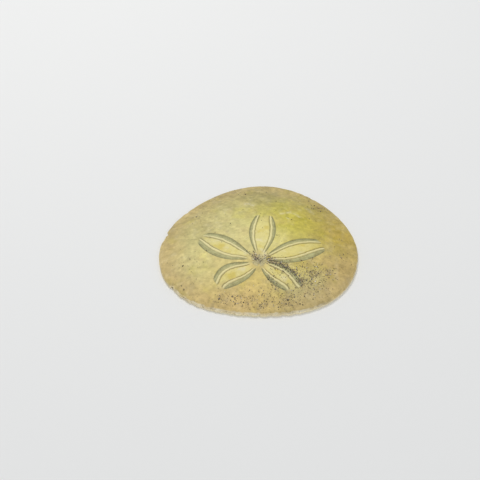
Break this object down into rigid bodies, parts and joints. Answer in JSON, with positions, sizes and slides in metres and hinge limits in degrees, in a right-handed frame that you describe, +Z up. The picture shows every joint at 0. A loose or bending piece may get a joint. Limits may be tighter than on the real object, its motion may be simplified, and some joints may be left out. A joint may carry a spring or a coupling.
{
  "type": "sand dollar",
  "caption": "Flat domed sea urchin skeleton of thin stony plates, with a five-petalled flower on its roof and a five-jawed chewing lantern inside over the mouth.",
  "frame": {"origin": "middle of the underside, at the height it rests on", "axes": "+Z up through the roof, +Y towards the front edge (the petals' crown lies behind the middle), +X to the animal's right"},
  "size_m": [0.08, 0.0776, 0.0095],
  "materials": {
    "petal_stereom": "matte, finely porous",
    "crown_stereom": "matte, finely porous",
    "roof_stereom": "matte, finely pitted",
    "floor_stereom": "matte, finely pitted",
    "inner_stereom": "matte",
    "jaw_calcite": "satin",
    "tooth_calcite": "satin"
  },
  "bodies": {
    "test": {"crown_plate": "crown_stereom", "eye_plates": "crown_stereom", "front_left_gap_floor": "floor_stereom", "front_left_gap_roof": "roof_stereom", "front_petal": "petal_stereom", "front_ray_floor": "floor_stereom", "front_ray_roof": "roof_stereom", "front_right_gap_floor": "floor_stereom", "front_right_gap_roof": "roof_stereom", "left_petal": "petal_stereom", "left_ray_floor": "floor_stereom", "left_ray_roof": "roof_stereom", "mouth_gap_plates": "floor_stereom", "mouth_ray_plates": "floor_stereom", "rear_gap_floor": "floor_stereom", "rear_gap_roof": "roof_stereom", "rear_left_petal": "petal_stereom", "rear_left_ray_floor": "floor_stereom", "rear_left_ray_roof": "roof_stereom", "rear_right_petal": "petal_stereom", "rear_right_ray_floor": "floor_stereom", "rear_right_ray_roof": "roof_stereom", "right_petal": "petal_stereom", "right_ray_floor": "floor_stereom", "right_ray_roof": "roof_stereom", "rim_pillars": "inner_stereom", "side_left_gap_floor": "floor_stereom", "side_left_gap_roof": "roof_stereom", "side_right_gap_floor": "floor_stereom", "side_right_gap_roof": "roof_stereom"},
    "front_left_jaw": {"front_left_jaw_left_half": "jaw_calcite", "front_left_jaw_right_half": "jaw_calcite", "front_left_tooth": "tooth_calcite", "front_left_jaw_caps": "jaw_calcite", "front_left_jaw_link": "jaw_calcite"},
    "side_left_jaw": {"side_left_jaw_left_half": "jaw_calcite", "side_left_jaw_right_half": "jaw_calcite", "side_left_tooth": "tooth_calcite", "side_left_jaw_caps": "jaw_calcite", "side_left_jaw_link": "jaw_calcite"},
    "rear_jaw": {"rear_jaw_left_half": "jaw_calcite", "rear_jaw_right_half": "jaw_calcite", "rear_tooth": "tooth_calcite", "rear_jaw_caps": "jaw_calcite", "rear_jaw_link": "jaw_calcite"},
    "side_right_jaw": {"side_right_jaw_left_half": "jaw_calcite", "side_right_jaw_right_half": "jaw_calcite", "side_right_tooth": "tooth_calcite", "side_right_jaw_caps": "jaw_calcite", "side_right_jaw_link": "jaw_calcite"},
    "front_right_jaw": {"front_right_jaw_left_half": "jaw_calcite", "front_right_jaw_right_half": "jaw_calcite", "front_right_tooth": "tooth_calcite", "front_right_jaw_caps": "jaw_calcite", "front_right_jaw_link": "jaw_calcite"}
  },
  "joints": [
    {"name": "front_left_jaw_rock", "type": "hinge", "parent": "test", "child": "front_left_jaw", "pos_m": [-0.00244, 0.00105, 0.003], "axis": [0.809, 0.5878, 0], "range_deg": [0, 8]},
    {"name": "side_left_jaw_rock", "type": "hinge", "parent": "test", "child": "side_left_jaw", "pos_m": [-0.00426, -0.00455, 0.003], "axis": [-0.309, 0.9511, 0], "range_deg": [0, 8]},
    {"name": "rear_jaw_rock", "type": "hinge", "parent": "test", "child": "rear_jaw", "pos_m": [0.0005, -0.008, 0.003], "axis": [-1, 0, 0], "range_deg": [0, 8]},
    {"name": "side_right_jaw_rock", "type": "hinge", "parent": "test", "child": "side_right_jaw", "pos_m": [0.00526, -0.00455, 0.003], "axis": [-0.309, -0.9511, 0], "range_deg": [0, 8]},
    {"name": "front_right_jaw_rock", "type": "hinge", "parent": "test", "child": "front_right_jaw", "pos_m": [0.00344, 0.00105, 0.003], "axis": [0.809, -0.5878, 0], "range_deg": [0, 8]}
  ],
  "couplings": [
    {"joint": "side_left_jaw_rock", "follows": "front_left_jaw_rock", "ratio": 1},
    {"joint": "rear_jaw_rock", "follows": "front_left_jaw_rock", "ratio": 1},
    {"joint": "side_right_jaw_rock", "follows": "front_left_jaw_rock", "ratio": 1},
    {"joint": "front_right_jaw_rock", "follows": "front_left_jaw_rock", "ratio": 1}
  ]
}
